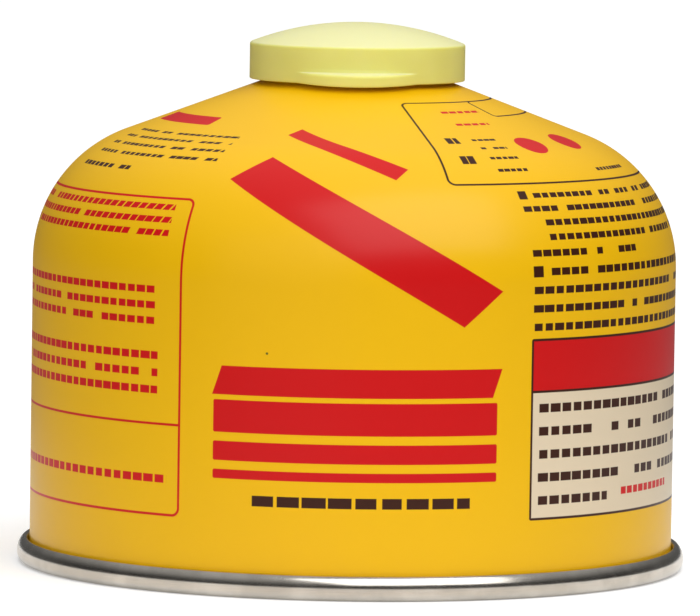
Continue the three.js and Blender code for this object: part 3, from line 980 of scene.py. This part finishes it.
def make_print_space():
    """Degrees from the front, millimetres up the metal and millimetres to a degree."""
    tree, _, out = group("print_space", [], ON_CAN)
    spot = tree.node("ShaderNodeUVMap", uv_map="print_map").outputs[0]
    parts = tree.node("ShaderNodeSeparateXYZ", {"Vector": spot}).outputs
    tree.feed(out.inputs["Azimuth"], tree.times(parts[0], DEGREES))
    tree.feed(out.inputs["Length"], tree.math("DIVIDE", parts[1], PRINT_V_SCALE))
    ends = {0: tree.place(), 1: (1.0, 1.0, 0.0)}
    flat = tree.node("ShaderNodeVectorMath", ends, operation="MULTIPLY").outputs[0]
    radius = tree.node("ShaderNodeVectorMath", {0: flat}, operation="LENGTH").outputs["Value"]
    tree.feed(out.inputs["Per degree"], tree.times(radius, 2 * math.pi / DEGREES / MM))
    return tree.tree


def make_panel_distance():
    """Below zero inside a rounded panel, above zero outside, in millimetres on the can."""
    names = ON_CAN + ["Left", "Right", "Low", "High", "Corner"]
    tree, given, out = group("panel_distance", names, ["Distance"])

    def beyond(value, low, high):
        middle = tree.times(tree.plus(low, high), 0.5)
        half = tree.times(tree.minus(high, low), 0.5)
        return tree.minus(tree.apart(value, middle), half)

    across = tree.times(beyond(given["Azimuth"], given["Left"], given["Right"]), given["Per degree"])
    across = tree.plus(across, given["Corner"])
    along = tree.plus(beyond(given["Length"], given["Low"], given["High"]), given["Corner"])
    far = tree.length(tree.math("MAXIMUM", across, 0.0), tree.math("MAXIMUM", along, 0.0))
    near = tree.math("MINIMUM", tree.math("MAXIMUM", across, along), 0.0)
    tree.feed(out.inputs[0], tree.minus(tree.plus(far, near), given["Corner"]))
    return tree.tree


def make_text_rows():
    """Rows of short blocks: Top is the top of the first row, Rows how many, Cell the width of a block."""
    names = ON_CAN + ["Left", "Right", "Top", "Pitch", "Rows", "Bar", "Cell", "Seed"]
    tree, given, out = group("text_rows", names, ["Ink"])
    down = tree.math("DIVIDE", tree.minus(given["Top"], given["Length"]), given["Pitch"])
    below_top = tree.math("GREATER_THAN", down, 0.0)
    in_rows = tree.times(below_top, tree.math("LESS_THAN", down, given["Rows"]))
    off_row = tree.times(tree.apart(tree.math("FRACT", down), 0.5), given["Pitch"])
    off_row = tree.minus(off_row, tree.times(given["Bar"], 0.5))
    inward = tree.minus(given["Azimuth"], given["Left"])
    cells = tree.math("DIVIDE", tree.times(inward, given["Per degree"]), given["Cell"])
    key = {"X": tree.math("FLOOR", cells), "Y": tree.math("FLOOR", down), "Z": given["Seed"]}
    key = tree.node("ShaderNodeCombineXYZ", key).outputs[0]
    chance = tree.node("ShaderNodeTexWhiteNoise", {"Vector": key}, noise_dimensions="3D").outputs["Value"]
    wide = tree.ramp(chance, 0.0, 1.0, *BLOCK_HALF_WIDTHS, smooth=False)
    off_cell = tree.minus(tree.apart(tree.math("FRACT", cells), 0.5), wide)
    off = tree.math("MAXIMUM", off_row, tree.times(off_cell, given["Cell"]))
    shape = tree.ramp(off, ROW_EDGE, -ROW_EDGE)
    there = tree.math("GREATER_THAN", chance, BLOCKS_LEFT_OUT)
    past_left = tree.math("GREATER_THAN", inward, 0.0)
    inside = tree.times(past_left, tree.math("LESS_THAN", given["Azimuth"], given["Right"]))
    ink = tree.times(tree.times(shape, there), tree.times(inside, in_rows))
    tree.feed(out.inputs[0], ink)
    return tree.tree


print_space = make_print_space()
panel_distance = make_panel_distance()
text_rows = make_text_rows()
print("print groups:", [g.name for g in (print_space, panel_distance, text_rows)])

# %% Metal marks and moulding grain
AROUND_SHARE = 0.0012
MOTTLE_SCALE = 160.0
SINKS_SCALE = 90.0


def make_drawn_marks():
    """Fine marks round the axis, as a press tool and a seaming roller leave them."""
    tree, given, out = group("drawn_marks", ["Place", "Scale"], ["Marks", "Mottle"])
    parts = tree.node("ShaderNodeSeparateXYZ", {"Vector": given["Place"]}).outputs
    turn = tree.math("ARCTAN2", parts[0], parts[1])
    radius = tree.length(parts[0], parts[1])
    around = {"X": tree.times(turn, AROUND_SHARE), "Y": radius, "Z": parts[2]}
    around = tree.node("ShaderNodeCombineXYZ", around).outputs[0]
    tree.feed(out.inputs["Marks"], tree.noise(around, given["Scale"], 4.0, 0.6))
    tree.feed(out.inputs["Mottle"], tree.noise(given["Place"], MOTTLE_SCALE, 3.0, 0.55))
    return tree.tree


def make_moulding_grain():
    """The faint sandy grain of a moulded surface and its wide, slow sinks."""
    tree, given, out = group("moulding_grain", ["Place", "Scale"], ["Grain", "Sinks"])
    tree.feed(out.inputs["Grain"], tree.noise(given["Place"], given["Scale"], 2.0, 0.7))
    tree.feed(out.inputs["Sinks"], tree.noise(given["Place"], SINKS_SCALE, 2.0, 0.4))
    return tree.tree


drawn_marks = make_drawn_marks()
moulding_grain = make_moulding_grain()
print("surface groups:", [g.name for g in (drawn_marks, moulding_grain)])

# %% [markdown]
# The painted can
#
# The enamel is a warm yellow under a clear coat with a very slight orange peel. The print lies under the
# coat: a red frame with rows on the left, a dark frame and rows on the right, a red bar over a beige
# panel, and plain red stripes at the front. Each line below places one field, in degrees round the can
# from its front and in millimetres up the metal. One tiny speck of dirt lies on the wall at the front.

# %% Print fields
YELLOW = srgb(241, 186, 2)
PALE_YELLOW = srgb(245, 194, 8)
RED = srgb(206, 12, 14)
DARK = srgb(58, 24, 8)
BEIGE = srgb(228, 210, 180)
SPECK_COLOR = srgb(92, 88, 30)

# left, right, low, high, corner, line width (0 is a filled field)
BEIGE_PANELS = [(32.7, 122.0, 12.5, 33.0, 0.2, 0.0)]
RED_PANELS = [
    (32.7, 122.0, 33.0, 41.2, 0.2, 0.0),
    (-118.0, -31.3, 12.3, 63.4, 1.2, 0.42),
    (-118.0, -31.3, 26.6, 27.0, 0.0, 0.0),
    (-24.6, 25.8, 26.2, 31.4, 0.3, 0.0),
    (-24.6, 25.8, 21.7, 24.8, 0.3, 0.0),
    (-24.6, 25.8, 18.8, 20.3, 0.3, 0.0),
    (-82.0, -47.5, 83.6, 86.9, 0.5, 0.0),
]
DARK_PANELS = [
    (18.7, 100.0, 67.4, 94.8, 1.2, 0.38),
    (54.0, 100.0, 88.7, 94.8, 0.8, 0.38),
    (32.7, 122.0, 12.5, 41.2, 0.2, 0.40),
    (32.7, 122.0, 32.7, 33.1, 0.0, 0.0),
    (32.7, 34.6, 64.3, 65.9, 0.1, 0.0),
    (32.7, 34.8, 51.2, 53.0, 0.1, 0.0),
]
# left, right, top, pitch, rows, bar, cell
RED_ROWS = [
    (-112.0, -35.0, 62.9, 2.2, 3, 1.05, 1.75),
    (-112.0, -36.6, 49.5, 2.5, 3, 1.15, 2.05),
    (-112.0, -36.0, 39.1, 2.75, 3, 1.25, 2.15),
    (-112.0, -33.8, 19.4, 2.7, 1, 1.3, 2.25),
    (31.8, 50.0, 91.9, 2.0, 1, 0.8, 1.6),
    (31.8, 45.0, 87.0, 1.9, 1, 0.8, 1.6),
    (55.0, 75.0, 17.2, 2.6, 1, 1.2, 1.9),
]
DARK_ROWS = [
    (36.0, 118.0, 66.0, 2.0, 1, 0.95, 1.7),
    (32.7, 118.0, 63.7, 2.35, 1, 1.0, 1.8),
    (36.8, 118.0, 61.3, 2.45, 2, 1.05, 1.85),
    (32.7, 60.0, 56.4, 2.7, 1, 1.1, 1.95),
    (36.4, 118.0, 53.6, 3.1, 1, 1.2, 2.05),
    (32.7, 118.0, 50.6, 2.95, 3, 1.2, 2.1),
    (34.0, 118.0, 32.1, 3.7, 4, 1.4, 2.35),
    (34.0, 51.0, 17.3, 3.7, 1, 1.4, 2.35),
    (-17.6, 20.9, 17.2, 3.5, 1, 1.7, 4.15),
    (-74.0, -31.0, 80.8, 2.5, 4, 0.75, 1.5),
    (-75.0, -53.0, 70.0, 2.4, 1, 0.9, 1.8),
    (30.8, 38.5, 81.5, 3.15, 4, 0.7, 1.2),
    (60.0, 74.0, 70.7, 2.0, 1, 0.7, 1.2),
    (23.4, 27.0, 83.0, 6.5, 2, 2.2, 1.3),
]
# centre azimuth, centre length, radius
RED_DISCS = [(47.5, 77.4, 2.9), (63.5, 77.9, 2.9)]
SPECKS = [(-14.9, 39.0, 0.2)]
# start and stop as (azimuth, length), half width
STRIPES = [
    ((-22.0, 70.6), (23.0, 46.3), 4.1),
    ((-17.0, 82.6), (9.5, 69.6), 1.7),
    ((-24.0, 34.5), (25.8, 34.5), 2.3),
]
STRIPE_SLANT = 0.35
MM_PER_DEGREE_AT_WALL = 2 * math.pi * WALL_RADIUS / DEGREES
print("red fields:", len(RED_PANELS) + len(RED_ROWS), "dark fields:", len(DARK_PANELS) + len(DARK_ROWS))

# %% Printing
PRINT_EDGE = 0.07


class Printing:
    """Draws the fields of one ink after another in the tree of the enamel."""

    def __init__(self, tree):
        self.tree = tree
        space = use(tree, print_space)
        self.space = {name.replace(" ", "_"): space[name] for name in ON_CAN}
        self.masks = []

    def fill(self, distance):
        self.masks.append(self.tree.ramp(distance, PRINT_EDGE, -PRINT_EDGE))

    def panel(self, left, right, low, high, corner, line):
        edges = {"Left": left, "Right": right, "Low": low, "High": high, "Corner": corner}
        distance = use(self.tree, panel_distance, **edges, **self.space)[0]
        if line:
            distance = self.tree.minus(self.tree.math("ABSOLUTE", distance), line / 2)
        self.fill(distance)

    def rows(self, left, right, top, pitch, rows, bar, cell):
        lines = {"Left": left, "Right": right, "Top": top, "Pitch": pitch, "Rows": float(rows)}
        seed = float(len(self.masks)) + 0.5
        self.masks.append(use(self.tree, text_rows, Bar=bar, Cell=cell, Seed=seed, **lines, **self.space)[0])

    def disc(self, azimuth, length, radius):
        tree = self.tree
        across = tree.times(tree.minus(self.space["Azimuth"], azimuth), self.space["Per_degree"])
        along = tree.minus(self.space["Length"], length)
        self.fill(tree.minus(tree.length(across, along), radius))

    def stripe(self, start, stop, half):
        """A straight band with slanted ends, drawn flat on the map of the wall."""
        tree = self.tree
        first = Vector((start[0] * MM_PER_DEGREE_AT_WALL, start[1]))
        last = Vector((stop[0] * MM_PER_DEGREE_AT_WALL, stop[1]))
        middle = (first + last) / 2
        run = (last - first) / 2
        way = run.normalized()
        flat = tree.math("MULTIPLY_ADD", self.space["Azimuth"], MM_PER_DEGREE_AT_WALL, -middle.x)
        high = tree.minus(self.space["Length"], middle.y)
        along = tree.math("MULTIPLY_ADD", flat, way.x, tree.times(high, way.y))
        across = tree.math("MULTIPLY_ADD", flat, -way.y, tree.times(high, way.x))
        slanted = tree.math("MULTIPLY_ADD", across, -STRIPE_SLANT, along)
        ends = tree.minus(tree.math("ABSOLUTE", slanted), run.length)
        sides = tree.minus(tree.math("ABSOLUTE", across), half)
        self.fill(tree.math("MAXIMUM", ends, sides))

    def ink(self, panels=(), rows=(), discs=(), stripes=()):
        """Where one ink lies. The seed of a row is its place in this order."""
        self.masks = []
        kinds = ((self.panel, panels), (self.rows, rows), (self.disc, discs), (self.stripe, stripes))
        for draw, fields in kinds:
            for field in fields:
                draw(*field)
        total = self.masks[0]
        for mask in self.masks[1:]:
            total = self.tree.math("MAXIMUM", total, mask)
        return total


# %% Paint the can
TONE_SCALE = 22.0
TONE_RANGE = (0.3, 0.7)
PALE_SHARE = 0.25
WAVE_SCALE = 120.0
WAVE_DEPTH = 0.00004
PEEL_SCALE = 700.0
PEEL_DEPTH = 0.000006
ENAMEL_ROUGHNESS = (0.44, 0.50)


def make_enamel():
    finish, tree = material("yellow_enamel")
    place = tree.place()
    printing = Printing(tree)
    beige = printing.ink(BEIGE_PANELS)
    red = printing.ink(RED_PANELS, RED_ROWS, RED_DISCS, STRIPES)
    dark = printing.ink(DARK_PANELS, DARK_ROWS)
    speck = printing.ink(discs=SPECKS)
    tone = tree.noise(place, TONE_SCALE)
    color = tree.mix(tree.ramp(tone, *TONE_RANGE, 0.0, PALE_SHARE), YELLOW, PALE_YELLOW)
    for ink, ink_color in ((beige, BEIGE), (red, RED), (dark, DARK), (speck, SPECK_COLOR)):
        color = tree.mix(ink, color, ink_color)
    peel = tree.bump(tree.noise(place, PEEL_SCALE), PEEL_DEPTH, 0.5)
    normal = tree.bump(tree.noise(place, WAVE_SCALE), WAVE_DEPTH, 0.35, peel)
    surface(tree, {
        "Base Color": color,
        "Roughness": tree.ramp(tone, *TONE_RANGE, *ENAMEL_ROUGHNESS),
        "Specular IOR Level": 0.10,
        "Coat Weight": 0.42,
        "Coat Roughness": 0.27,
        "Normal": normal,
        "Coat Normal": normal,
    })
    return finish


dress(make_enamel(), can_body)

# %% [markdown]
# The other finishes
#
# Tinplate is bright steel with fine marks round the axis from the press and the seaming rollers. The cap
# is a pale yellow polyethylene that lets a little light in. Rubber is matt and dusty, the valve's plastic
# is milky, and the spring is drawn wire.

# %% Metals
MARKS_SCALE = 9000.0
WIRE_MARKS_SCALE = 14000.0
MARKS_DEPTH = 0.000006
WIRE_MARKS_DEPTH = 0.000008


def metal_tree(name, scale):
    finish, tree = material(name)
    return finish, tree, use(tree, drawn_marks, Place=tree.place(), Scale=scale)


def make_tinplate():
    finish, tree, marks = metal_tree("drawn_tinplate", MARKS_SCALE)
    fine = tree.ramp(marks["Marks"], 0.3, 0.7)
    color = tree.mix(tree.ramp(marks["Mottle"], 0.35, 0.7), srgb(196, 190, 180), srgb(214, 208, 198))
    surface(tree, {
        "Base Color": tree.mix(tree.times(fine, 0.14), color, srgb(168, 161, 150)),
        "Roughness": tree.math("MULTIPLY_ADD", fine, 0.07, 0.16),
        "Normal": tree.bump(marks["Marks"], MARKS_DEPTH, 0.5),
        "Metallic": 1.0,
    })
    return finish


def make_spring_wire():
    finish, tree, marks = metal_tree("spring_wire", WIRE_MARKS_SCALE)
    surface(tree, {
        "Base Color": tree.mix(marks["Marks"], srgb(150, 150, 154), srgb(206, 206, 208)),
        "Roughness": tree.math("MULTIPLY_ADD", marks["Mottle"], 0.2, 0.22),
        "Normal": tree.bump(marks["Marks"], WIRE_MARKS_DEPTH, 0.5),
        "Metallic": 1.0,
    })
    return finish


dress(make_tinplate(), base_end, valve_cup)
dress(make_spring_wire(), spring)

# %% Mouldings
# Faces that look up get a paler colour, a painted sheen that stands in for the light from above.
PAINTED_SHEEN_RANGE = (0.30, 0.97)
SINKS_DEPTH = 0.00006
SINKS_ROUGHNESS = 0.1
GLOW_SPREAD = (1.0, 0.9, 0.5)


def make_moulding(name, light, deep, painted_sheen, roughness, grain_scale, grain_depth, glow, glow_radius):
    """A plastic or rubber: two close colours, a painted sheen that is paler where a face looks up, a grain
    and a little light let in.
    """
    finish, tree = material(name)
    spots = tree.node("ShaderNodeTexCoord").outputs
    facing = tree.node("ShaderNodeSeparateXYZ", {"Vector": spots["Normal"]}).outputs[2]
    grain = use(tree, moulding_grain, Place=spots["Object"], Scale=grain_scale)
    plain = tree.mix(tree.ramp(grain["Sinks"], 0.3, 0.7), srgb(*light), srgb(*deep))
    fine = tree.bump(grain["Grain"], grain_depth, 0.6)
    surface(tree, {
        # Painted sheen: the base colour turns paler where the face looks up.
        "Base Color": tree.mix(tree.ramp(facing, *PAINTED_SHEEN_RANGE), plain, srgb(*painted_sheen)),
        "Roughness": tree.math("MULTIPLY_ADD", grain["Sinks"], SINKS_ROUGHNESS, roughness),
        "Normal": tree.bump(grain["Sinks"], SINKS_DEPTH, 0.4, fine),
        "Subsurface Weight": glow,
        "Subsurface Radius": GLOW_SPREAD,
        "Subsurface Scale": glow_radius,
    })
    return finish


cap_plastic = make_moulding(
    "cap_polyethylene", light=(239, 238, 140), deep=(235, 233, 131), painted_sheen=(235, 232, 170),
    roughness=0.36, grain_scale=2600.0, grain_depth=0.000010, glow=0.5, glow_radius=0.0015)
milky_plastic = make_moulding(
    "milky_plastic", light=(232, 228, 216), deep=(224, 219, 205), painted_sheen=(236, 233, 224),
    roughness=0.42, grain_scale=3000.0, grain_depth=0.000008, glow=0.15, glow_radius=0.0008)
rubber = make_moulding(
    "gasket_rubber", light=(44, 43, 41), deep=(34, 33, 32), painted_sheen=(58, 56, 53),
    roughness=0.72, grain_scale=2200.0, grain_depth=0.000025, glow=0.0, glow_radius=0.0004)
dress(cap_plastic, cap)
dress(milky_plastic, valve_housing, valve_stem)
dress(rubber, cup_gasket, stem_gasket)

# %% [markdown]
